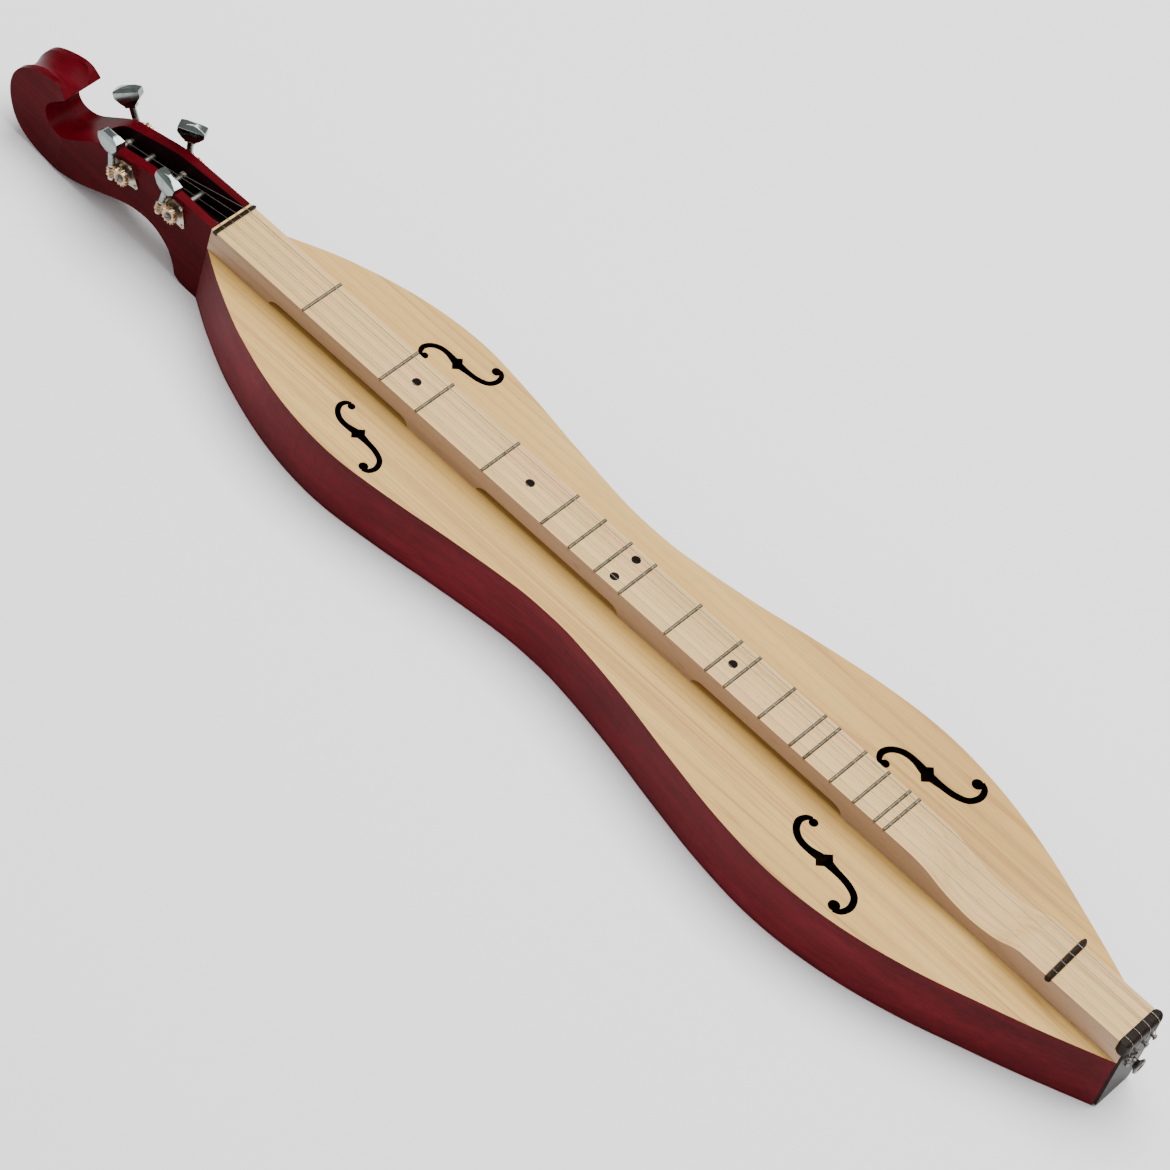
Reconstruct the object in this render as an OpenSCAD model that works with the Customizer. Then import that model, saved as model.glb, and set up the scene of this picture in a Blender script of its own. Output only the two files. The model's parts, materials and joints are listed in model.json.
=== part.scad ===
// Appalachian dulcimer: an hourglass box with a raised fretboard down its centre line, a
// scrolled pegbox with four open worm-gear tuning machines, and four strings hitched at the tail.
// +X runs from the scroll to the tail, +Y is the side away from the player, +Z is up.
// The origin is on the underside of the back, on the centre line, straight below the nut's front.

/* [Body] */
// Vibrating string length, from the nut's front edge to the bridge
scale_length = 724; // [718:1:730]
// Depth of the box from the underside of the back to the top of the soundboard
body_depth = 51.5; // [49:0.5:54]
// Thickness of the soundboard
soundboard_t = 2.5; // [2:0.1:3]
// Thickness of the back
back_t = 3; // [2:0.1:4]
// Thickness of the bent sides
side_t = 2.2; // [1.8:0.1:3]
// Width of the glued lining strips inside the sides
lining_w = 4; // [3:0.5:6]
// Height of the glued lining strips
lining_h = 6; // [4:0.5:8]

/* [Fretboard] */
// Width of the fretboard
fretboard_w = 35.5; // [34:0.5:37]
// Height of the fretboard above the soundboard
fretboard_h = 19.9; // [18:0.1:22]
// Height of the three arches under the fretboard
arch_h = 6; // [4.5:0.5:8]
// Depth of the scoop where the strings are strummed
scoop_depth = 9.6; // [6:0.1:11]
// Width of a fret's crown
fret_w = 2.4; // [1.8:0.1:2.8]
// Height of a fret above the board
fret_h = 1.1; // [0.8:0.1:1.4]
// Diameter of a position dot
dot_d = 6.4; // [4:0.1:7]

/* [Nut and bridge] */
// Thickness of the nut along the strings
nut_t = 3.1; // [2.5:0.1:4]
// Height of the nut above the fretboard
nut_rise = 2; // [1.6:0.1:3]
// Length of the nut across the fretboard
nut_len = 36.4; // [35:0.2:38]
// Thickness of the bridge at its foot
bridge_t = 4.6; // [4:0.1:6]
// Height of the bridge above the fretboard
bridge_rise = 3.4; // [2.5:0.1:5]
// Length of the bridge across the fretboard
bridge_len = 40.2; // [38:0.2:41]
// Slant of the bridge, which lengthens the strings on the near side
bridge_slant = 2.4; // [0:0.1:6]

/* [Pegbox] */
// Width of the pegbox across its cheeks
pegbox_w = 34.4; // [33.6:0.2:35]
// Width of the scroll
scroll_w = 30; // [28:0.5:33]
// Width of the string slot at the nut
slot_w_nut = 24; // [22:0.5:25]
// Width of the string slot at the scroll
slot_w_scroll = 16.6; // [15:0.2:18]

/* [Tuning machines] */
// Teeth on each tuning gear
gear_teeth = 14; // [14:2:14]
// Distance between the worm's axis and the gear's axis
centre_distance = 9; // [9:0.1:9.2]
// Radius of a string post
post_r = 2.4; // [2.2:0.1:2.5]
// Radial running clearance of every turning shaft
running_gap = 0.06; // [0.03:0.01:0.09]
// Width of a tuning button
button_w = 19; // [16:0.5:22]
// Height of a tuning button
button_h = 15.5; // [12:0.5:17]
// Thickness of a tuning button
button_t = 8; // [6:0.5:9]

/* [Strings] */
// Radius of the two near strings
melody_r = 0.16; // [0.12:0.01:0.22]
// Radius of the third string
middle_r = 0.2; // [0.15:0.01:0.25]
// Radius of the far, wound string
bass_r = 0.26; // [0.2:0.01:0.3]

/* [Hidden] */
$fn = 48;
cut = 1;

// ---- outline of the box: half-width against distance from the nut ----
body_start = -5;
body_end = 788;
half_width = [
    [body_start, 17.4], [22, 33.4], [60, 51.4], [110, 66.6], [160, 72.2], [210, 67.4],
    [260, 59.4], [310, 52.7], [335, 51.7], [360, 52.8], [410, 60.4], [460, 71], [510, 80.2],
    [560, 84.4], [610, 79.8], [660, 67.6], [710, 49.6], [745, 36], [body_end, 17.6]
];
edge_steps = 6;

top_z = body_depth;
board_z = top_z + fretboard_h;
board_half = fretboard_w / 2;
inner_top = top_z - soundboard_t;

// Blocks and braces inside the box
head_block_end = 26;
tail_block_start = 758;
brace_w = 9;
brace_h = 9;
top_brace_x = [222, 400];
back_brace_x = [110, 335, 560];
dowel_r = 4;
dowel_len = 24;
dowel_z = [13, 33];

// Soundholes: centre along the box, centre across it, scale
soundholes = [[163, 46.5, 1], [574, 50.3, 1.26]];

// ---- fretboard ----
// Semitones above the open string at each fret of the mixolydian scale with the extra half frets
fret_semitones = [2, 4, 5, 7, 9, 10, 11, 12, 14, 16, 17, 19, 21, 22, 24, 26, 28, 29];
tang_w = 0.6;
tang_depth = 2.2;
arches = [[52, 179], [241, 366], [430, 559]];
arch_ramp = 9;
scoop = [[612, 0], [625, 0.2], [637.5, 0.6], [650, 0.87], [664, 1], [680, 0.82], [688, 0.56],
    [695, 0.2], [701, 0]];
dot_depth = 1.5;
double_dot_y = 10.3;
nut_seat = 2;
bridge_seat = 1.5;

// ---- end cap, end plate, hitch pins and strap button ----
cap_start = 782.5;
cap_end = 790.6;
cap_bottom = 61.5;
cap_top = board_z + 0.9;
cap_len = 38;
cap_bend = 3.5;
plate_end = 790;
pin_z = 56;
pin_spread = 8.4;
pin_r = 1;
pin_len = 14;
pin_neck = 2.6;
strap_z = 40;
strap_len = 7.8;
strap_seat = 5.6;

// ---- pegbox: side profile as x, z ----
pegbox_half = pegbox_w / 2;
scroll_half = scroll_w / 2;
scroll_back = [
    [-26, 3.4], [-30.6, 13.6], [-38, 22.4], [-50, 28.6], [-64, 29.8], [-80, 25.8], [-100, 16.2],
    [-120, 6.9], [-138, 2.3], [-155, 1.2], [-170, 4.6], [-182, 12.8], [-189.6, 26],
    [-192.4, 39.5], [-190.4, 52], [-183.2, 62.6], [-172, 69.3], [-160, 73.2], [-151.5, 73],
    [-143.8, 67.4]
];
scroll_throat = [
    [-144, 66.4], [-151, 58.6], [-157.6, 50.4], [-158.8, 43], [-155.6, 36.4], [-149.4, 33],
    [-142, 33], [-136, 35.8], [-128, 42.2], [-110, 56.6], [-95, 62], [-80.8, 66.2],
    [-70, 69.2], [-61, 70.9], [-45, 71.5], [-30, 71.8], [body_start, 72.4]
];
profile_steps = 4;
slot_end = -116;
slot_floor = [[body_start, 46], [-40, 42], [-60, 38], [-100, 27], [-130, 20]];
flute_centre = [-157, 38];
flute_rim = 35.5;
flute_depth = 1.8;
flute_tube = 21.7;

// ---- tuning machines: post centre x, z, tilt towards the scroll, side, string position y ----
// button_rest is the angle at which each button was left, about its own shaft
machines = [
    [-36.8, 57.8, -5, -1, -7.8],
    [-81.4, 53.2, 11, -1, -3.2],
    [-55.5, 57.7, 4, 1, 7.2],
    [-101.5, 49.2, 33, 1, 3.2]
];
button_rest = [-6, -6, -25, -25];
plate_t = 1;
worm_pitch_r = 2.9;
worm_throw = 0.65;
worm_len = 8;
gear_pitch_r = centre_distance - worm_pitch_r;
thread_pitch = 2 * PI * gear_pitch_r / gear_teeth;
gear_tip_r = gear_pitch_r + 0.35;
gear_root_r = gear_pitch_r - 0.9;
gear_t = 3.2;
axis_h = plate_t + 4.1;
shaft_r = 1.5;
lug_gap = 0.3;
lug_t = 2;
lug_r = 2.4;
collar_top = 17;
stub_r = 2;
post_reach = 25;
winding_r = 0.3;
winding_turns = 5;

// ---- strings: spread across the instrument at the nut, the bridge and the hitch pins ----
string_r = [melody_r, melody_r, bass_r, middle_r];
nut_y = [-11.4, -3.8, 11.4, 3.8];
bridge_y = [-13.2, -4.4, 13.2, 4.4];
pin_y = [-1.5 * pin_spread, -0.5 * pin_spread, 1.5 * pin_spread, 0.5 * pin_spread];
notch_depth = 0.3;
nut_fall = 1.6;
string_gap = 0.01;

FOUR = [0 : 3];

// ---------------------------------------------------------------- curves

// Slope of a curve y(x) at its control point i
function slope(p, i) =
    let (a = p[max(i - 1, 0)], b = p[min(i + 1, len(p) - 1)]) (b.y - a.y) / (b.x - a.x);

// Smooth curve y(x) through control points whose x always grows
function graph_curve(p, steps) = [
    for (i = [0 : len(p) - 2])
        for (k = [0 : steps - 1 + (i == len(p) - 2 ? 1 : 0)])
            let (t = k / steps, h = p[i + 1].x - p[i].x)
            [p[i].x + t * h,
             (2 * t^3 - 3 * t^2 + 1) * p[i].y + (t^3 - 2 * t^2 + t) * h * slope(p, i)
             + (3 * t^2 - 2 * t^3) * p[i + 1].y + (t^3 - t^2) * h * slope(p, i + 1)]
];

// Smooth curve through control points of any dimension
function spline(p, steps) = [
    for (i = [0 : len(p) - 2])
        for (k = [0 : steps - 1 + (i == len(p) - 2 ? 1 : 0)])
            let (t = k / steps, a = p[max(i - 1, 0)], b = p[i], c = p[i + 1],
                 d = p[min(i + 2, len(p) - 1)])
            0.5 * (2 * b + (c - a) * t + (2 * a - 5 * b + 4 * c - d) * t^2
                   + (3 * b - a - 3 * c + d) * t^3)
];

// Unit normal to the right of a point list at index i
function right_normal(c, i) =
    let (v = c[min(i + 1, len(c) - 1)] - c[max(i - 1, 0)], s = norm([v.x, v.y]))
    [v.y / s, -v.x / s];

function mirrored(c) = [for (i = [len(c) - 1 : -1 : 0]) [c[i].x, -c[i].y]];

// Far edge of the box seen from above, then the same edge moved inwards by d
edge = graph_curve(half_width, edge_steps);
function inset_edge(d) =
    let (c = [for (i = [0 : len(edge) - 1]) edge[i] + d * right_normal(edge, i)])
    concat([[body_start, c[0].y]], c, [[body_end, c[len(c) - 1].y]]);

// Part of a curve between two values of x
function between(c, a, b) = [for (p = c) if (p.x >= a && p.x <= b) p];

// ---------------------------------------------------------------- building helpers

// A prism that stands along Z between two heights
module slab(z0, z1) {
    translate([0, 0, z0]) linear_extrude(z1 - z0) children();
}

// A side profile drawn in x, z and drawn out across the instrument
module across(length) {
    rotate([90, 0, 0]) linear_extrude(length, center = true) children();
}

// A round bar along Y between two values of y
module bar_y(y0, y1, r) {
    translate([0, y0, 0]) rotate([-90, 0, 0]) cylinder(r = r, h = y1 - y0);
}

// A strip that follows the box's far side between two insets
module edge_strip(d0, d1, x0 = body_start, x1 = body_end) {
    polygon(concat(
        between(d0 == 0 ? edge : inset_edge(d0), x0, x1),
        [for (p = mirrored(between(inset_edge(d1), x0, x1))) [p.x, -p.y]]
    ));
}

module stadium(length, width) {
    square([width, length - width], center = true);
    for (s = [-1, 1]) translate([0, s * (length - width) / 2]) circle(d = width);
}

// Rings of a wire: u stays across the instrument, and past the point "loop_from" the wire turns
// about a pin that points along X, so v stays along X there
wire_sides = 8;
function unit(v) = v / norm(v);
function wire_ring(p, i, r, loop_from) =
    let (t = unit(unit(p[min(i + 1, len(p) - 1)] - p[min(i, len(p) - 2)])
                  + unit(p[max(i, 1)] - p[max(i - 1, 0)])),
         x = [1, 0, 0], y = [0, 1, 0],
         u = i < loop_from ? unit(y - (y * t) * t) : unit(cross(x - (x * t) * t, t)),
         v = cross(t, u))
    [for (k = [0 : wire_sides - 1])
        let (a = 360 * k / wire_sides) p[i] + r * (cos(a) * u + sin(a) * v)];

module wire(p, r, loop_from) {
    n = wire_sides;
    last = (len(p) - 1) * n;
    polyhedron(
        [for (i = [0 : len(p) - 1]) each wire_ring(p, i, r, loop_from)],
        concat(
            [for (i = [0 : len(p) - 2]) for (k = [0 : n - 1])
                [i * n + k, i * n + n + k, i * n + n + (k + 1) % n, i * n + (k + 1) % n]],
            [[for (k = [0 : n - 1]) k], [for (k = [n - 1 : -1 : 0]) last + k]]));
}

// ---------------------------------------------------------------- box

// An f-shaped soundhole drawn along the box, its small eye towards the fretboard
module f_hole() {
    spine = [
        [-19.8, -13.6, 1.2], [-22.4, -11.9, 1.6], [-23.7, -7.6, 1.9], [-21.2, -2.6, 1.9],
        [-15.9, 0.7, 2], [-9, 1.3, 2.1], [0, 0, 2.9], [9, 0.4, 2.1], [17, 1.4, 2],
        [23.9, 4.6, 1.9], [26.6, 10.8, 1.85], [25, 16.2, 1.7], [21.6, 18.5, 1.2]
    ];
    path = spline(spine, 3);
    left = [for (i = [0 : len(path) - 1])
        [path[i].x, path[i].y] - path[i].z * right_normal(path, i)];
    right = [for (i = [len(path) - 1 : -1 : 0])
        [path[i].x, path[i].y] + path[i].z * right_normal(path, i)];
    polygon(concat(left, right));
    translate([-18.1, -12.3]) circle(r = 2.5);
    translate([20.4, 16]) circle(r = 3.2);
    polygon([[-4.4, 1.7], [-0.7, 5.9], [3, 1.9], [4.4, -1.7], [0.7, -5.9], [-3, -1.9]]);
}

module soundboard() {
    color("burlywood")
    difference() {
        slab(inner_top, top_z) polygon(concat(edge, mirrored(edge)));
        slab(inner_top - cut, top_z + cut)
            for (hole = soundholes)
                for (s = [0, 1])
                    mirror([0, s]) translate([hole.x, hole.y]) scale(hole.z) f_hole();
    }
}

module back_plate() {
    color("darkred")
    slab(0, back_t) polygon(concat(edge, mirrored(edge)));
}

// One bent side; s is -1 on the near side and 1 on the far side
module side(s) {
    color("darkred")
    slab(back_t, inner_top) scale([1, s]) edge_strip(0, side_t);
}

module block(x0, x1) {
    c = between(inset_edge(side_t), x0, x1);
    color("tan")
    difference() {
        slab(back_t, inner_top) polygon(concat(c, mirrored(c)));
        if (x0 == body_start) dowels();
        else strap_shank(x0);
    }
}

// A lining strip under the soundboard or on the back, clear of the two end blocks
module lining(s, z0) {
    color("tan")
    slab(z0, z0 + lining_h) scale([1, s])
        edge_strip(side_t, side_t + lining_w, head_block_end + 2, tail_block_start - 2);
}

// A brace across the box with its ends scooped down to the linings
module brace(x, top) {
    inner = inset_edge(side_t + lining_w + 1);
    reach = min([for (p = inner) if (abs(p.x - x) < brace_w) p.y]);
    scoop_len = 16;
    color("tan")
    translate([x, 0, top ? inner_top : back_t]) mirror([0, 0, top ? 1 : 0])
        rotate([90, 0, 90]) linear_extrude(brace_w, center = true)
            polygon([[-reach, 0], [reach, 0], [reach, 3], [reach - scoop_len, brace_h],
                     [scoop_len - reach, brace_h], [-reach, 3]]);
}

// ---------------------------------------------------------------- fretboard

function fret_x(semitones) = scale_length * (1 - pow(2, -semitones / 12));

// One arch under the fretboard with rounded ends
module arch(x0, x1) {
    ramp = [for (a = [0 : 10 : 90]) [arch_ramp * (1 - cos(a)), arch_h * sin(a)]];
    polygon(concat([[x0, -cut]], [for (p = ramp) [x0 + p.x, p.y]],
                   [for (i = [len(ramp) - 1 : -1 : 0]) [x1 - ramp[i].x, ramp[i].y]],
                   [[x1, -cut]]));
}

// Middle of the bridge on the centre line, and the bridge's crest at a distance y from it
bridge_x = scale_length + 0.3;
function crest_x(y) = bridge_x - y * tan(bridge_slant);

module bridge_plan() {
    translate([bridge_x, 0]) rotate(bridge_slant) stadium(bridge_len, bridge_t);
}

module fretboard() {
    scoop_curve = [for (p = graph_curve(scoop, 5)) [p.x, board_z - scoop_depth * p.y]];
    color("wheat")
    difference() {
        translate([body_start, -board_half, top_z])
            cube([body_end - body_start, fretboard_w, fretboard_h]);
        for (a = arches) translate([0, 0, top_z]) across(fretboard_w + 2 * cut) arch(a[0], a[1]);
        across(fretboard_w + 2 * cut)
            polygon(concat([[scoop[0].x, board_z + cut]], scoop_curve,
                           [[scoop[len(scoop) - 1].x, board_z + cut]]));
        for (n = fret_semitones)
            translate([fret_x(n) - tang_w / 2, -board_half - cut, board_z - tang_depth])
                cube([tang_w, fretboard_w + 2 * cut, tang_depth + cut]);
        dots(board_z + cut);
        translate([-nut_t, -board_half - cut, board_z - nut_seat])
            cube([nut_t, fretboard_w + 2 * cut, nut_seat + cut]);
        slab(board_z - bridge_seat, board_z + cut) bridge_plan();
        translate([cap_start, -board_half - cut, cap_bottom])
            cube([body_end - cap_start + cut, fretboard_w + 2 * cut, board_z]);
        pins();
    }
}

// Frets: a rounded crown on the board and a tang that stops short of both edges
module frets() {
    crown_r = (pow(fret_w / 2, 2) + pow(fret_h, 2)) / (2 * fret_h);
    color("silver")
    for (n = fret_semitones) {
        translate([fret_x(n), 0, board_z]) {
            intersection() {
                translate([0, 0, fret_h - crown_r]) bar_y(-board_half, board_half, crown_r);
                translate([-fret_w, -board_half, 0]) cube([2 * fret_w, fretboard_w, fret_w]);
            }
            translate([-tang_w / 2, 0.7 - board_half, -tang_depth])
                cube([tang_w, fretboard_w - 1.4, tang_depth + 0.2]);
        }
    }
}

// Position dots lie midway between two frets, given by their places in the fret list
module dots(z_top) {
    single = [[1, 2], [3, 4], [9, 10]];
    double = [6, 7];
    spots = concat(
        [for (p = single) [(fret_x(fret_semitones[p[0]]) + fret_x(fret_semitones[p[1]])) / 2, 0]],
        [for (s = [-1, 1])
            [(fret_x(fret_semitones[double[0]]) + fret_x(fret_semitones[double[1]])) / 2,
             s * double_dot_y]]
    );
    for (p = spots)
        translate([p.x, p.y, board_z - dot_depth])
            cylinder(d = dot_d, h = z_top - board_z + dot_depth);
}

module position_dots() {
    color("black") dots(board_z);
}

module nut() {
    color([0.12, 0.08, 0.06])
    difference() {
        across(nut_len)
            polygon([[-nut_t, board_z - nut_seat], [0, board_z - nut_seat],
                     [0, board_z + nut_rise], [-0.7, board_z + nut_rise],
                     [-nut_t, board_z + nut_rise - nut_fall]]);
        for (y = nut_y)
            translate([-nut_t / 2, y, board_z + nut_rise])
                rotate([0, 90, 0]) cylinder(r = notch_depth, h = 2 * nut_t, center = true);
    }
}

module bridge() {
    color([0.15, 0.1, 0.08])
    difference() {
        intersection() {
            slab(board_z - bridge_seat, board_z + bridge_rise) bridge_plan();
            translate([bridge_x, 0, board_z]) rotate(bridge_slant)
                across(bridge_len + cut)
                    polygon([[-bridge_t, -2 * cut], [bridge_t, -2 * cut], [bridge_t / 2, 0.8],
                             [1.1, bridge_rise - 0.5], [0.6, bridge_rise],
                             [-0.6, bridge_rise], [-1.1, bridge_rise - 0.5],
                             [-bridge_t / 2, 0.8]]);
        }
        for (y = bridge_y)
            translate([bridge_x, y, board_z + bridge_rise])
                rotate([0, 90, 0]) cylinder(r = notch_depth, h = 3 * bridge_t, center = true);
    }
}

// ---------------------------------------------------------------- tail

module end_cap() {
    length = cap_end - cap_start;
    color([0.1, 0.08, 0.08])
    intersection() {
        across(cap_len)
            polygon(concat(
                [[cap_start, cap_bottom], [cap_end, cap_bottom]],
                [for (a = [0 : 15 : 90])
                    [cap_end - cap_bend * (1 - cos(a)), cap_top - cap_bend * (1 - sin(a))]],
                [[cap_start + 0.8, cap_top], [cap_start, cap_top - 0.6]]));
        slab(cap_bottom - cut, cap_top + cut) translate([cap_start + length / 2, 0])
            stadium(cap_len, length);
    }
}

// Dark plate over the whole end of the box, up to the end cap
module end_plate() {
    half = 17.2;
    color([0.1, 0.08, 0.08])
    difference() {
        translate([body_end, 0, 0]) rotate([90, 0, 90]) linear_extrude(plate_end - body_end)
            polygon([[-half, cap_bottom], [half, cap_bottom], [half, 2.8], [half - 2, 0.8],
                     [2 - half, 0.8], [-half, 2.8]]);
        pins();
        strap_shank(tail_block_start);
    }
}

// The four hitch pins' shanks, from inside the end of the fretboard out to their heads
module pins() {
    for (y = pin_y)
        translate([plate_end + pin_neck + 0.8 - pin_len, y, pin_z]) rotate([0, 90, 0])
            cylinder(r = pin_r, h = pin_len);
}

module hitch_pins() {
    head_r = 2.1;
    color("dimgray") {
        pins();
        for (y = pin_y)
            translate([plate_end + pin_neck, y, pin_z]) rotate([0, 90, 0]) {
                cylinder(r = head_r, h = 0.7);
                translate([0, 0, 0.7]) cylinder(r1 = head_r, r2 = 1.3, h = 0.6);
            }
    }
}

// Wood screw through the strap button, drawn as its plain shank from x0 outwards
module strap_shank(x0) {
    translate([max(x0, body_end - 18), 0, strap_z]) rotate([0, 90, 0])
        cylinder(r = 1.5, h = 40);
}

module strap_button() {
    color("silver")
    difference() {
        translate([plate_end, 0, strap_z]) rotate([0, 90, 0])
            rotate_extrude()
                polygon([[0, 0], [5.6, 0], [5.6, 1], [3.5, 1.9], [3, 3.4], [3.5, 4.9],
                         [5.7, 6.1], [5.9, 7], [5.2, strap_len], [0, strap_len]]);
        translate([plate_end + strap_seat, 0, strap_z]) rotate([0, 90, 0])
            cylinder(r = 3, h = strap_len);
        strap_shank(tail_block_start);
    }
}

module strap_screw() {
    head_x = plate_end + strap_seat;
    color("dimgray")
    difference() {
        union() {
            intersection() {
                strap_shank(tail_block_start);
                translate([0, -5, 0]) cube([head_x + 0.5, 10, 2 * strap_z]);
            }
            translate([head_x, 0, strap_z]) rotate([0, 90, 0]) cylinder(r1 = 2.9, r2 = 2.2, h = 1.6);
        }
        for (a = [0, 90])
            translate([head_x + 1.6, 0, strap_z]) rotate([a, 0, 0])
                cube([1.6, 0.7, 3.2], center = true);
    }
}

// ---------------------------------------------------------------- pegbox and scroll

module dowels() {
    for (z = dowel_z)
        translate([body_start - dowel_len / 2, 0, z]) rotate([0, 90, 0])
            cylinder(r = dowel_r, h = dowel_len);
}

module neck_dowels() {
    color("tan") dowels();
}

// Concave flute around the outside of the scroll; it fades out under the pegbox
module scroll_flute() {
    fade = flute_depth;
    translate([flute_centre.x + fade * cos(250), 0, flute_centre.y + fade * sin(250)])
        rotate([90, 0, 0]) rotate([0, 0, 58])
            rotate_extrude(angle = 194, $fn = 96)
                translate([flute_rim - flute_depth + flute_tube, 0]) circle(r = flute_tube);
}

module string_slot() {
    end_r = slot_w_scroll / 2;
    intersection() {
        slab(0, board_z + 10) {
            polygon([[body_start + cut, slot_w_nut / 2], [slot_end + end_r, end_r],
                     [slot_end + end_r, -end_r], [body_start + cut, -slot_w_nut / 2]]);
            translate([slot_end + end_r, 0]) circle(r = end_r);
        }
        across(slot_w_nut + 2)
            polygon(concat([[slot_floor[0].x + cut, slot_floor[0].y]], slot_floor,
                           [[-130, 100], [body_start + cut, 100]]));
    }
}

module head() {
    profile = concat(
        [[body_start, 0], [-13, 0], [-20.5, 0.6]],
        spline(scroll_back, profile_steps), spline(scroll_throat, profile_steps));
    taper = [[body_start, pegbox_half], [-139, pegbox_half - 0.2], [-152, scroll_half + 0.6],
             [-166, scroll_half], [-200, scroll_half]];
    color([0.35, 0.07, 0.09])
    difference() {
        intersection() {
            across(pegbox_w + 2) polygon(profile);
            slab(-cut, 90) polygon(concat(taper, mirrored(taper)));
        }
        string_slot();
        scroll_flute();
        dowels();
        for (i = FOUR)
            at_machine(i) translate([0, 0, 3 - post_reach])
                cylinder(r = post_r + running_gap, h = post_reach);
        for (i = FOUR) at_machine(i) screw_shanks();
    }
}

// ---------------------------------------------------------------- tuning machines

// Places a machine on its cheek: local z points out of the cheek, local y up the worm shaft,
// local x away from the scroll; the far pair mirrors the near pair
module at_machine(i) {
    m = machines[i];
    mirror([0, m[3] > 0 ? 1 : 0, 0])
        translate([m.x, -pegbox_half, m.y]) rotate([0, -m.z, 0]) rotate([90, 0, 0])
            children();
}

plate_screw_spots = [[9, -4.9], [3.6, 7.6], [-11.9, -8.9]];

module machine_plate(i) {
    color("silver")
    at_machine(i)
    difference() {
        union() {
            linear_extrude(plate_t)
                polygon([[-13.8, -10.8], [-13.8, 8], [-5.5, 8], [-4, 9.6], [5, 9.6], [11.2, -5],
                         [10, -7.2], [-6.5, -7.2], [-9, -10.8]]);
            for (s = [-1, 1]) lug(s);
        }
        translate([0, 0, -cut]) cylinder(r = post_r + running_gap, h = plate_t + 2 * cut);
        translate([-centre_distance, 0, axis_h]) bar_y(-10, 10, shaft_r + running_gap);
        screw_shanks();
    }
}

// Shanks of a plate's three screws, from inside the cheek to the plate's face
module screw_shanks() {
    for (p = plate_screw_spots)
        translate([p.x, p.y, -4]) cylinder(r = 0.8, h = 4 + plate_t);
}

// Distance from the cheek's outer face in to the place where string i is wound
function string_depth(i) = pegbox_half - machines[i][3] * machines[i][4];

// One bearing lug of the worm shaft; s is -1 for the lower lug and 1 for the upper one
module lug(s) {
    inner = worm_len / 2 + lug_gap;
    y0 = s > 0 ? inner : -inner - lug_t;
    translate([-centre_distance, 0, axis_h]) bar_y(y0, y0 + lug_t, lug_r);
    translate([-centre_distance - lug_r, y0, 0]) cube([2 * lug_r, lug_t, axis_h]);
}

// Worm thread: a round core that runs off centre and turns once per thread
module worm_thread() {
    turn = 360 * worm_len / thread_pitch;
    translate([0, -worm_len / 2, 0]) rotate([-90, 0, 0]) rotate([0, 0, 180 - turn / 2])
        linear_extrude(worm_len, twist = -turn, slices = 56, $fn = 18)
            translate([worm_throw, 0]) circle(r = worm_pitch_r);
}

module worm_shaft(i) {
    color("goldenrod")
    at_machine(i) translate([-centre_distance, 0, axis_h]) {
        worm_thread();
        bar_y(-worm_len / 2 - lug_gap - lug_t - 0.5, collar_top + 1.5, shaft_r);
    }
}

// Tuning button: a shield outline crossed with a wedge-shaped side view, on a round collar; its
// neck is slim enough to turn beside the cheek
module knob(i) {
    half = button_w / 2;
    neck = 3.8;
    dome = [for (a = [60 : 10 : 120]) [2 * half * cos(a), button_h - 2 * half * (1 - sin(a))]];
    color("gainsboro")
    at_machine(i) translate([-centre_distance, 0, axis_h])
    difference() {
        union() {
            rotate([0, button_rest[i], 0]) translate([0, collar_top, 0]) intersection() {
                linear_extrude(button_t, center = true)
                    polygon(concat([[-neck, 0], [neck, 0], [neck, 1.4], [half, 8]], dome,
                                   [[-half, 8], [-neck, 1.4]]));
                rotate([0, 90, 0]) linear_extrude(button_w + cut, center = true)
                    polygon([[-2.8, 0], [2.8, 0], [button_t / 2, 4], [button_t / 2, button_h - 3.5],
                             [button_t / 2 - 1.4, button_h - 0.8], [1, button_h],
                             [-1, button_h], [1.4 - button_t / 2, button_h - 0.8],
                             [-button_t / 2, button_h - 3.5], [-button_t / 2, 4]]);
            }
            bar_y(worm_len / 2 + 2 * lug_gap + lug_t, collar_top + cut, lug_r);
        }
        bar_y(0, collar_top + 1.5, shaft_r);
    }
}

module gear_tooth() {
    polygon([[gear_root_r - 0.4, -0.72], [gear_tip_r, -0.25], [gear_tip_r, 0.25],
             [gear_root_r - 0.4, 0.72]]);
}

module tuning_gear(i) {
    color("goldenrod")
    at_machine(i) translate([0, 0, axis_h - gear_t / 2])
        linear_extrude(gear_t) difference() {
            union() {
                circle(r = gear_root_r);
                for (k = [0 : gear_teeth - 1]) rotate(k * 360 / gear_teeth) gear_tooth();
            }
            circle(r = stub_r);
        }
}

// String post: it runs in the cheek, crosses the slot and carries the gear on a stub outside
module string_post(i) {
    seat = axis_h - gear_t / 2;
    color("silver")
    at_machine(i)
    difference() {
        union() {
            translate([0, 0, -post_reach]) cylinder(r = post_r, h = post_reach + seat);
            cylinder(r = stub_r, h = seat + gear_t);
        }
        translate([0, 0, seat]) cylinder(r = 0.9, h = 2 * gear_t);
        translate([0, 0, -string_depth(i) - 2.2]) bar_y(-5, 5, 0.6);
    }
}

module gear_screw(i) {
    top = axis_h + gear_t / 2;
    color("dimgray")
    at_machine(i)
    difference() {
        union() {
            translate([0, 0, top - gear_t]) cylinder(r = 0.9, h = gear_t + 0.5);
            translate([0, 0, top]) cylinder(r = 2.9, h = 0.8);
            translate([0, 0, top + 0.8]) cylinder(r1 = 2.9, r2 = 2.1, h = 0.6);
        }
        translate([0, 0, top + 1.2]) rotate(35 + 40 * i) cube([7, 0.7, 1], center = true);
    }
}

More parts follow.
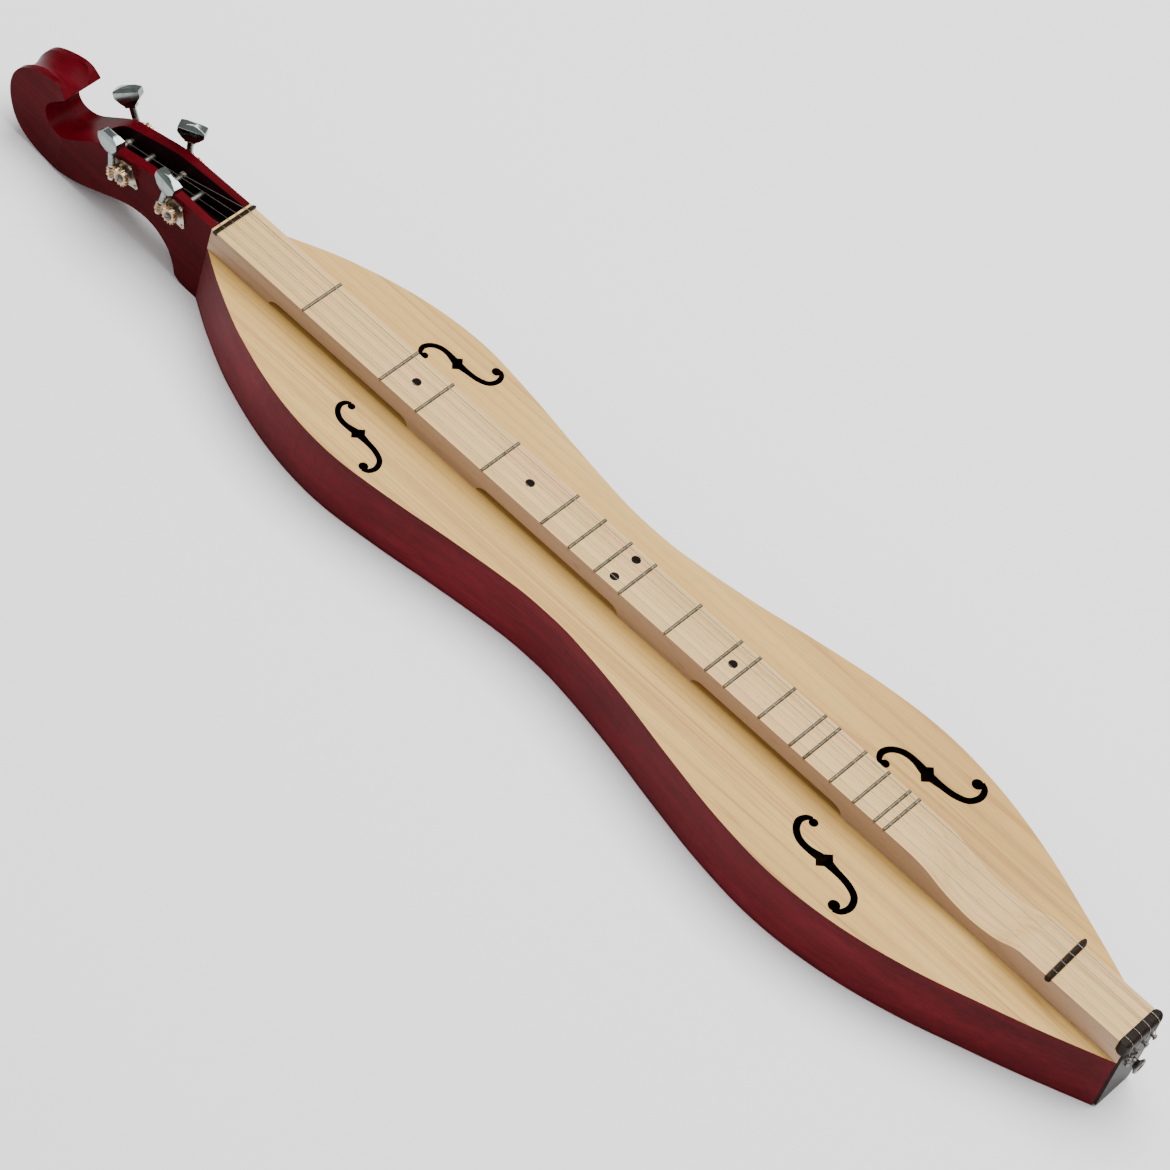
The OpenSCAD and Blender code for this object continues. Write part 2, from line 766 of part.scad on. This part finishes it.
module plate_screws() {
    color("silver")
    for (i = FOUR)
        at_machine(i) {
            screw_shanks();
            for (p = plate_screw_spots)
                translate([p.x, p.y, plate_t]) difference() {
                    cylinder(r1 = 1.6, r2 = 0.9, h = 0.9);
                    translate([0, 0, 0.9]) cube([4, 0.5, 0.7], center = true);
                }
        }
}

// ---------------------------------------------------------------- strings

// Turns of string on a post, as a ribbed sleeve
module winding(i) {
    rib = 1.8 * winding_r;
    color("silver")
    at_machine(i) translate([0, 0, -string_depth(i)])
        rotate_extrude() {
            translate([post_r, 0]) square([winding_r, rib * (winding_turns - 1)]);
            for (k = [0 : winding_turns - 1])
                translate([post_r + winding_r, k * rib]) circle(r = winding_r, $fn = 24);
        }
}

// A string from its post over the nut, bridge and end cap to its hitch pin
module dulcimer_string(i) {
    m = machines[i];
    r = string_r[i];
    lay = r - notch_depth + string_gap;
    wrap_r = post_r + winding_r;
    nut_top = [-0.6, nut_y[i], board_z + nut_rise + lay];
    drop = atan2(nut_top.z - m.y - wrap_r, nut_top.x - m.x);
    post_top = [m.x - wrap_r * sin(drop) + 0.4, m[4] - m[3] * (winding_r + r + 0.15),
                m.y + wrap_r * cos(drop) + 0.3];
    bend_step = 22.5;
    bend_r = (cap_bend + r + 0.05) / cos(bend_step / 2);
    bend = [for (a = [90 : -bend_step : 0])
        [cap_end - cap_bend + bend_r * cos(a), bridge_y[i], cap_top - cap_bend + bend_r * sin(a)]];
    run = concat(
        [post_top, nut_top,
         [crest_x(bridge_y[i]), bridge_y[i], board_z + bridge_rise + lay]],
        bend, [[cap_end - cap_bend + bend_r, bridge_y[i], cap_bottom]]
    );
    // Loop round the hitch pin's neck, down and round to its top, drawing in towards the plate
    loop_r = pin_r + r + 0.05;
    loop_lead = 2.4 * r;
    loop = [for (a = [0 : -30 : -300])
        [plate_end + pin_neck - 0.1 - r + loop_lead * a / 360,
         pin_y[i] + loop_r * cos(a), pin_z + loop_r * sin(a)]];
    color("silver") wire(concat(run, loop), r, len(run));
}

// ---------------------------------------------------------------- nodes

soundboard();
back_plate();
side(-1);  // side_near
side(1);  // side_far
head();
neck_dowels();
block(body_start, head_block_end);  // head_block
block(tail_block_start, body_end);  // tail_block
lining(-1, inner_top - lining_h);  // lining_top_near
lining(1, inner_top - lining_h);  // lining_top_far
lining(-1, back_t);  // lining_back_near
lining(1, back_t);  // lining_back_far
for (i = [0 : len(top_brace_x) - 1])
    brace(top_brace_x[i], true);
for (i = [0 : len(back_brace_x) - 1])
    brace(back_brace_x[i], false);
fretboard();
frets();
position_dots();
nut();
bridge();
end_cap();
end_plate();
hitch_pins();
strap_button();
strap_screw();
plate_screws();
for (i = FOUR) {
    dulcimer_string(i);
    winding(i);
    machine_plate(i);
    knob(i);
    worm_shaft(i);
    tuning_gear(i);
    string_post(i);
    gear_screw(i);
}
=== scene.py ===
import json
import math

import bmesh
import bpy
from mathutils import Matrix, Vector


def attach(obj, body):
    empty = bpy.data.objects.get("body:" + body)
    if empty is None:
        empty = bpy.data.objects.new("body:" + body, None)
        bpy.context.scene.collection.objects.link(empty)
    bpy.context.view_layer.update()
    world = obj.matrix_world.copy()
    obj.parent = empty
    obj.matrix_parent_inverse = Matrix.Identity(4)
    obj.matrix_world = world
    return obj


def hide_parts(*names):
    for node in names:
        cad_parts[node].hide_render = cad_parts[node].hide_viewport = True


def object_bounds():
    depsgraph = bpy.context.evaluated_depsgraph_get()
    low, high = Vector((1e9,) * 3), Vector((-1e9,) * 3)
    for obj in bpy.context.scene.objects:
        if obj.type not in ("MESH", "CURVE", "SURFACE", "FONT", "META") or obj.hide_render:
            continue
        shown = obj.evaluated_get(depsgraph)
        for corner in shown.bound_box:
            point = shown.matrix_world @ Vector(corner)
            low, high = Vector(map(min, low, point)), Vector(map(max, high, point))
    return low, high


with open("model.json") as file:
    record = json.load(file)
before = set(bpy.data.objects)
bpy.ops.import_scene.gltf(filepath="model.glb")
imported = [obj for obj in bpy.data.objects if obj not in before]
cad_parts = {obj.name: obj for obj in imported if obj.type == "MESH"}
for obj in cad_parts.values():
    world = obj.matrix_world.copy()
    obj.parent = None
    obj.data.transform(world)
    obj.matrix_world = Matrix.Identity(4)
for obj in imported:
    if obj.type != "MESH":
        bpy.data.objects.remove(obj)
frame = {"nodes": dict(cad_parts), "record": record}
cad_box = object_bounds()

MM = 0.001
ROOT = "instrument"
MACHINES = (1, 2, 3, 4)

CAMERA_PLACE = Vector((1.22876, -1.78054, 2.56227))
CAMERA_RIGHT = Vector((0.71516, 0.66552, 0.21360))
CAMERA_FORWARD = Vector((-0.27907, 0.55206, -0.78571))
SENSOR_MM = 36.0
LENS_MM = 155.94

FLOOR_SIZE = 30.0
FLOOR_GREY = 0.86
ROOM_BRIGHTNESS = 0.42
# Name, place from the object's centre, width and height, watts
LIGHTS = (
    ("overhead", (0.1, 0.6, 2.2), (3.0, 2.0), 150),
    ("scroll_side", (-2.2, -0.7, 0.7), (1.2, 0.6), 12),
    ("tail_side", (1.9, -1.3, 0.5), (1.0, 0.5), 9),
)

# Slot of the finish and width of the rounding along the edges of each wooden piece that shows
WOODEN_PIECES = {
    "soundboard": ("spruce_top", 0.35 * MM),
    "back_plate": ("red_wood", 0.6 * MM),
    "fretboard": ("fretboard_wood", 0.35 * MM),
    "head": ("head_wood", 0.9 * MM),
    "nut": ("dark_wood", 0.5 * MM),
    "bridge": ("dark_wood", 0.4 * MM),
    "end_cap": ("dark_wood", 0.7 * MM),
    "end_plate": ("dark_wood", 0.4 * MM),
}
WELD = 0.003 * MM
SAME_PLANE_DEG = 0.4
WOOD_EDGE_DEG = 38
KNOB_EDGE_DEG = 24
NODE_EDGE_DEG = 32
KNOB_ROUNDING = 1.0 * MM


# ---------------------------------------------------------------- camera, floor and light

def add_camera():
    """Looks down on the soundboard from the player's side, with the scroll at the top left."""
    right = CAMERA_RIGHT.normalized()
    forward = CAMERA_FORWARD.normalized()
    up = right.cross(forward)
    data = bpy.data.cameras.new("camera")
    data.sensor_width = SENSOR_MM
    data.lens = LENS_MM
    data.clip_start = 0.1
    data.clip_end = 100.0
    camera = bpy.data.objects.new("camera", data)
    axes = Matrix((right, up, -forward)).transposed().to_4x4()
    camera.matrix_world = Matrix.Translation(CAMERA_PLACE) @ axes
    bpy.context.scene.collection.objects.link(camera)
    bpy.context.scene.camera = camera


def add_floor(lowest):
    """A wide pale floor that the back rests on."""
    bpy.ops.mesh.primitive_plane_add(size=FLOOR_SIZE, location=(0.3, 0.0, lowest))
    floor = bpy.context.object
    floor.name = "floor"
    material = new_material("floor_paint", (FLOOR_GREY,) * 3, roughness=0.9)
    floor.data.materials.append(material)


def add_area_light(name, location, target, size, watts):
    data = bpy.data.lights.new(name, "AREA")
    data.shape = "RECTANGLE"
    data.size, data.size_y = size
    data.energy = watts
    light = bpy.data.objects.new(name, data)
    light.location = location
    aim = target - location
    light.rotation_euler = aim.to_track_quat("-Z", "Y").to_euler()
    bpy.context.scene.collection.objects.link(light)


def add_lights(centre):
    """A broad softbox overhead and behind, two weak low ones past the ends, and a pale room."""
    for name, offset, size, watts in LIGHTS:
        add_area_light(name, centre + Vector(offset), centre, size, watts)
    world = bpy.data.worlds.new("room")
    bpy.context.scene.world = world
    world.use_nodes = True
    background = world.node_tree.nodes["Background"]
    background.inputs["Color"].default_value = (1.0, 1.0, 1.0, 1.0)
    background.inputs["Strength"].default_value = ROOM_BRIGHTNESS


# ---------------------------------------------------------------- material building blocks

class Nodes:
    """Short names for adding and linking shader nodes in one material."""

    def __init__(self, material):
        self.tree = material.node_tree
        self.shader = self.tree.nodes["Principled BSDF"]

    def add(self, kind, **settings):
        node = self.tree.nodes.new(kind)
        for key, value in settings.items():
            setattr(node, key, value)
        return node

    def feed(self, socket, value):
        if isinstance(value, bpy.types.NodeSocket):
            self.tree.links.new(value, socket)
        else:
            socket.default_value = value

    def place(self, scale):
        """Object coordinates, in metres, stretched by a scale along each axis."""
        coords = self.add("ShaderNodeTexCoord").outputs["Object"]
        mapping = self.add("ShaderNodeMapping")
        self.feed(mapping.inputs["Vector"], coords)
        mapping.inputs["Scale"].default_value = scale
        return mapping.outputs["Vector"]

    def noise(self, scale, detail=3.0, roughness=0.5, distortion=0.0):
        node = self.add("ShaderNodeTexNoise")
        self.feed(node.inputs["Vector"], self.place(scale))
        node.inputs["Scale"].default_value = 1.0
        node.inputs["Detail"].default_value = detail
        node.inputs["Roughness"].default_value = roughness
        node.inputs["Distortion"].default_value = distortion
        return node.outputs["Fac"]

    def ramp(self, factor, stops):
        """A colour or a grey level at each position of a factor."""
        node = self.add("ShaderNodeValToRGB")
        elements = node.color_ramp.elements
        while len(elements) < len(stops):
            elements.new(0.5)
        for element, (position, colour) in zip(elements, stops):
            element.position = position
            rgb = colour if isinstance(colour, tuple) else (colour,) * 3
            element.color = (*rgb, 1.0)
        self.feed(node.inputs["Fac"], factor)
        return node.outputs["Color"]

    def mix(self, factor, a, b, mode="MIX"):
        node = self.add("ShaderNodeMix", data_type="RGBA", blend_type=mode)
        self.feed(node.inputs[0], factor)
        self.feed(node.inputs[6], (*a, 1.0) if isinstance(a, tuple) else a)
        self.feed(node.inputs[7], (*b, 1.0) if isinstance(b, tuple) else b)
        return node.outputs[2]

    def math(self, operation, a, b):
        node = self.add("ShaderNodeMath", operation=operation)
        self.feed(node.inputs[0], a)
        self.feed(node.inputs[1], b)
        return node.outputs[0]

    def bump(self, height, distance, strength):
        node = self.add("ShaderNodeBump")
        node.inputs["Strength"].default_value = strength
        node.inputs["Distance"].default_value = distance
        self.feed(node.inputs["Height"], height)
        self.feed(self.shader.inputs["Normal"], node.outputs["Normal"])

    def colour(self, value):
        self.feed(self.shader.inputs["Base Color"], value)

    def roughness(self, factor, low, high):
        """Roughness that follows a pattern between two values."""
        node = self.add("ShaderNodeMapRange")
        self.feed(node.inputs["Value"], factor)
        node.inputs["To Min"].default_value = low
        node.inputs["To Max"].default_value = high
        self.feed(self.shader.inputs["Roughness"], node.outputs["Result"])


def new_material(name, colour, roughness=0.5, metallic=0.0, specular=0.5):
    material = bpy.data.materials.new(name)
    material.use_nodes = True
    shader = material.node_tree.nodes["Principled BSDF"]
    shader.inputs["Base Color"].default_value = (*colour, 1.0)
    shader.inputs["Roughness"].default_value = roughness
    shader.inputs["Metallic"].default_value = metallic
    shader.inputs["Specular IOR Level"].default_value = specular
    return material


# ---------------------------------------------------------------- materials

def pale_wood(name, dark, middle, light, streak, streak_amount=0.5, roughness=0.5,
              blotch=None, line_depth=0.5, pore_depth=0.5):
    """Straight-grained wood: broad bands of tone, fine growth lines, broken pores and streaks."""
    material = new_material(name, middle, roughness, specular=0.22)
    n = Nodes(material)
    tone = n.noise((2.2, 26, 20), detail=4, roughness=0.55, distortion=0.3)
    lines = n.noise((2.5, 430, 160), detail=2, roughness=0.4, distortion=0.2)
    pores = n.noise((75, 1250, 700), detail=2, roughness=0.6)
    colour = n.ramp(tone, ((0.30, dark), (0.52, middle), (0.72, light)))
    if blotch:
        cloud = n.noise((13, 42, 42), detail=4, roughness=0.6, distortion=0.6)
        colour = n.mix(n.ramp(cloud, ((0.50, 0.0), (0.66, 0.75))), colour, blotch)
    line_tint = n.ramp(lines, ((0.36, 0.74), (0.47, 1.0), (0.64, 1.05)))
    colour = n.mix(0.55, colour, line_tint, "MULTIPLY")
    rings = n.noise((0.9, 88, 30), detail=1.5, roughness=0.4, distortion=0.15)
    ring_lines = n.ramp(rings, ((0.425, 0.0), (0.44, 1.0), (0.455, 0.0),
                                (0.525, 0.0), (0.54, 1.0), (0.555, 0.0)))
    broken = n.ramp(n.noise((9, 60, 40), detail=3, roughness=0.6), ((0.40, 0.25), (0.58, 1.0)))
    ring_amount = n.math("MULTIPLY", n.math("MULTIPLY", ring_lines, broken), line_depth)
    colour = n.mix(ring_amount, colour, streak)
    streaks = n.ramp(n.noise((1.4, 75, 60), detail=5, distortion=0.5), ((0.60, 0.0), (0.70, 1.0)))
    colour = n.mix(n.math("MULTIPLY", streaks, streak_amount), colour, streak)
    pore_tint = n.ramp(pores, ((0.30, 0.55), (0.39, 1.0)))
    n.colour(n.mix(pore_depth, colour, pore_tint, "MULTIPLY"))
    n.roughness(lines, roughness - 0.08, roughness + 0.10)
    n.bump(n.math("ADD", lines, n.math("MULTIPLY", pores, 0.4)), 0.00006, 0.5)
    return material


def stain_and_shade_wood(name, deep, middle, bright, roughness=0.38, specular=0.05):
    """Dark staining over open-grained wood under a satin finish; the same recipe makes near-black
    painted shade.
    """
    material = new_material(name, middle, roughness, specular=specular)
    n = Nodes(material)
    tone = n.noise((5, 22, 30), detail=4, roughness=0.6, distortion=0.4)
    fibres = n.noise((6, 330, 330), detail=4, roughness=0.65, distortion=0.2)
    pores = n.noise((24, 1320, 1320), detail=2, roughness=0.5)
    colour = n.ramp(tone, ((0.30, deep), (0.55, middle), (0.78, bright)))
    colour = n.mix(0.6, colour, n.ramp(fibres, ((0.35, 0.62), (0.60, 1.08))), "MULTIPLY")
    n.colour(n.mix(0.5, colour, n.ramp(pores, ((0.30, 0.55), (0.42, 1.0))), "MULTIPLY"))
    n.roughness(fibres, roughness - 0.06, roughness + 0.12)
    n.bump(n.math("ADD", fibres, pores), 0.00005, 0.35)
    return material


def ebony(name, deep=(0.006, 0.004, 0.003), light=(0.028, 0.018, 0.013), specular=0.06):
    """Black-brown hardwood, rubbed to a dull shine, with fine pores."""
    material = new_material(name, deep, 0.38, specular=specular)
    n = Nodes(material)
    fibres = n.noise((90, 900, 900), detail=4, roughness=0.6)
    n.colour(n.ramp(fibres, ((0.40, deep), (0.75, light))))
    n.roughness(fibres, 0.30, 0.50)
    n.bump(fibres, 0.00004, 0.4)
    return material


def metal(name, colour, roughness, smear=0.10, worn=None, grain=(400, 400, 400)):
    """Plated metal with faint smears of dulling and, if asked, worn or tarnished patches."""
    material = new_material(name, colour, roughness, metallic=1.0)
    n = Nodes(material)
    cloud = n.noise((130, 130, 130), detail=5, roughness=0.6)
    scratches = n.noise(grain, detail=3, roughness=0.6)
    if worn:
        n.colour(n.mix(n.ramp(cloud, ((0.48, 0.0), (0.68, 1.0))), colour, worn))
    n.roughness(cloud, roughness, roughness + smear)
    n.bump(scratches, 0.00001, 0.25)
    return material


def build_materials():
    return {
        "spruce_top": pale_wood(
            "spruce_top", (0.44, 0.252, 0.066), (0.53, 0.320, 0.088), (0.59, 0.368, 0.118),
            streak=(0.30, 0.140, 0.034), streak_amount=0.55, roughness=0.46, line_depth=0.62),
        "fretboard_wood": pale_wood(
            "fretboard_wood", (0.53, 0.345, 0.130), (0.62, 0.410, 0.162), (0.67, 0.460, 0.205),
            streak=(0.44, 0.26, 0.110), streak_amount=0.45, roughness=0.50,
            blotch=(0.66, 0.375, 0.170), line_depth=0.35, pore_depth=0.65),
        # painted shade: a darker, pinker copy of the fretboard wood that stands in for the shade
        # on its upright sides
        "fretboard_side_painted_shade": pale_wood(
            "fretboard_side_painted_shade", (0.36, 0.232, 0.145), (0.42, 0.272, 0.172), (0.48, 0.315, 0.205),
            streak=(0.28, 0.165, 0.095), streak_amount=0.40, roughness=0.52, line_depth=0.35),
        "inner_wood": pale_wood(
            "inner_wood", (0.34, 0.20, 0.07), (0.42, 0.26, 0.09), (0.48, 0.31, 0.12),
            streak=(0.28, 0.15, 0.05), roughness=0.65),
        "red_wood": stain_and_shade_wood(
            "red_wood", (0.062, 0.0022, 0.0045), (0.105, 0.0045, 0.0085), (0.165, 0.010, 0.018)),
        "head_wood": stain_and_shade_wood(
            "head_wood", (0.042, 0.0006, 0.0020), (0.064, 0.0013, 0.0038), (0.092, 0.0036, 0.0080),
            roughness=0.30, specular=0.02),
        # painted shade: near black, for the soundhole walls and the linings inside the body
        "soundhole_painted_shade": stain_and_shade_wood(
            "soundhole_painted_shade", (0.003, 0.002, 0.002), (0.006, 0.003, 0.003), (0.010, 0.005, 0.005),
            roughness=0.6, specular=0.02),
        # darker than the head wood, for the walls and floor of the string slot
        "slot_darker_wood": stain_and_shade_wood(
            "slot_darker_wood", (0.012, 0.003, 0.004), (0.022, 0.005, 0.007), (0.034, 0.008, 0.011),
            roughness=0.45, specular=0.1),
        "dark_wood": ebony("dark_wood"),
        "black_inlay": ebony("black_inlay", (0.004, 0.003, 0.003), (0.010, 0.007, 0.006), 0.02),
        "fret_wire": metal("fret_wire", (0.125, 0.11, 0.08), 0.42, worn=(0.075, 0.065, 0.045),
                           grain=(300, 4000, 300)),
        "string_steel": metal("string_steel", (0.26, 0.235, 0.195), 0.34),
        "chrome_metal": metal("chrome_metal", (0.235, 0.27, 0.26), 0.10, worn=(0.16, 0.19, 0.185)),
        "plate_metal": metal("plate_metal", (0.46, 0.42, 0.35), 0.24, worn=(0.27, 0.23, 0.18)),
        "gear_brass": metal("gear_brass", (0.46, 0.32, 0.20), 0.26, worn=(0.28, 0.19, 0.12)),
        "pin_steel": metal("pin_steel", (0.16, 0.15, 0.14), 0.34, worn=(0.09, 0.08, 0.07)),
    }


# ---------------------------------------------------------------- finished meshes

def rounded_copy(node, width, segments=2, edge_deg=WOOD_EDGE_DEG):
    """A copy of a CAD node whose sharp edges are rounded off, as sanding leaves them."""
    mesh = frame["nodes"][node].data.copy()
    mesh.materials.clear()
    work = bmesh.new()
    work.from_mesh(mesh)
    bmesh.ops.remove_doubles(work, verts=work.verts, dist=WELD)
    bmesh.ops.dissolve_limit(
        work, angle_limit=math.radians(SAME_PLANE_DEG), verts=work.verts, edges=work.edges)
    bmesh.ops.recalc_face_normals(work, faces=work.faces)
    for face in work.faces:
        face.smooth = True
    work.to_mesh(mesh)
    work.free()
    mesh.set_sharp_from_angle(angle=math.radians(edge_deg))
    piece = bpy.data.objects.new(node + "_finished", mesh)
    bpy.context.scene.collection.objects.link(piece)
    bevel = piece.modifiers.new("edges", "BEVEL")
    bevel.width = width
    bevel.segments = segments
    bevel.limit_method = "ANGLE"
    bevel.angle_limit = math.radians(edge_deg)
    bevel.use_clamp_overlap = True
    shade = piece.modifiers.new("shading", "WEIGHTED_NORMAL")
    shade.keep_sharp = False
    shade.weight = 100
    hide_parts(node)
    return piece


def tint_faces(piece, material, faces):
    """Gives some faces of a piece a second material."""
    piece.data.materials.append(material)
    for face in faces:
        face.material_index = len(piece.data.materials) - 1


def wall_groups(mesh):
    """A plate's upright faces in groups that touch: its rim first, then the walls of its holes."""
    owner = {}

    def root(vertex):
        while owner.setdefault(vertex, vertex) != vertex:
            vertex = owner[vertex]
        return vertex

    walls = [face for face in mesh.polygons if abs(face.normal.z) < 0.5]
    for face in walls:
        for vertex in face.vertices:
            owner[root(vertex)] = root(face.vertices[0])
    groups = {}
    for face in walls:
        groups.setdefault(root(face.vertices[0]), []).append(face)
    return sorted(groups.values(), key=lambda g: -max(abs(face.center.y) for face in g))


def finish_soundboard(piece, materials):
    """The sides' red staining runs over the soundboard's edge, and the soundhole walls get
    near-black painted shade.
    """
    rim, *holes = wall_groups(piece.data)
    tint_faces(piece, materials["red_wood"], rim)
    # painted shade: the soundhole walls are made near black
    tint_faces(piece, materials["soundhole_painted_shade"], [face for hole in holes for face in hole])


def darken_slot(head, dark_material):
    """The walls and floor of the string slot, which narrows away from the nut, get a darker
    material.
    """
    slot_start, narrow_end, slot_end = -4.0 * MM, -107.7 * MM, -116.6 * MM
    half_at_start, half_at_end, margin = 12.0 * MM, 8.3 * MM, 0.4 * MM
    floor_at_start, floor_fall, above_floor = 47.5 * MM, 0.2, 3 * MM
    heel_top = 20 * MM

    def darkened(c, n):
        behind = slot_start - c.x
        along = min(1.0, behind / (slot_start - narrow_end))
        half = half_at_start + (half_at_end - half_at_start) * along + margin
        if not (slot_end <= c.x <= slot_start + 1 * MM and abs(c.y) <= half):
            return False
        wall = abs(n.z) < 0.5 and c.z > heel_top
        floor = n.z > 0.5 and c.z < floor_at_start - floor_fall * behind + above_floor
        return wall or floor

    tint_faces(head, dark_material, [f for f in head.data.polygons if darkened(f.center, f.normal)])


def finish_wood(materials):
    """Rounds the edges of the wooden pieces that show and gives each its finish."""
    for node, (slot, width) in WOODEN_PIECES.items():
        piece = rounded_copy(node, width)
        piece.data.materials.append(materials[slot])
        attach(piece, ROOT)
        if node == "head":
            darken_slot(piece, materials["slot_darker_wood"])
        if node == "fretboard":
            # painted shade: the fretboard's upright sides get the darker copy of its wood
            sides = [face for face in piece.data.polygons if abs(face.normal.y) > 0.7]
            tint_faces(piece, materials["fretboard_side_painted_shade"], sides)
        if node == "soundboard":
            finish_soundboard(piece, materials)


def finish_nodes(materials):
    """Gives every CAD node its material and smooth shading, with near-black painted shade on the
    upper linings.
    """
    for name, node in frame["nodes"].items():
        slot = next(s["material_slot"] for s in frame["record"]["subparts"] if s["node"] == name)
        # painted shade: the upper linings inside the body are made near black
        if name.startswith("lining_top"):
            slot = "soundhole_painted_shade"
        node.data.materials.clear()
        node.data.materials.append(materials[slot])
        for face in node.data.polygons:
            face.use_smooth = True
        node.data.set_sharp_from_angle(angle=math.radians(NODE_EDGE_DEG))


def finish_knobs(materials):
    """Rounds the edges of the four buttons, which turn with their worm shafts."""
    for i in MACHINES:
        piece = rounded_copy(f"knob_{i}", KNOB_ROUNDING, segments=3, edge_deg=KNOB_EDGE_DEG)
        piece.data.materials.append(materials["chrome_metal"])
        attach(piece, f"tuner_knob_{i}")


materials = build_materials()
low, high = cad_box
centre = (low + high) / 2
add_camera()
add_floor(low.z)
add_lights(centre)
finish_nodes(materials)
finish_wood(materials)
finish_knobs(materials)
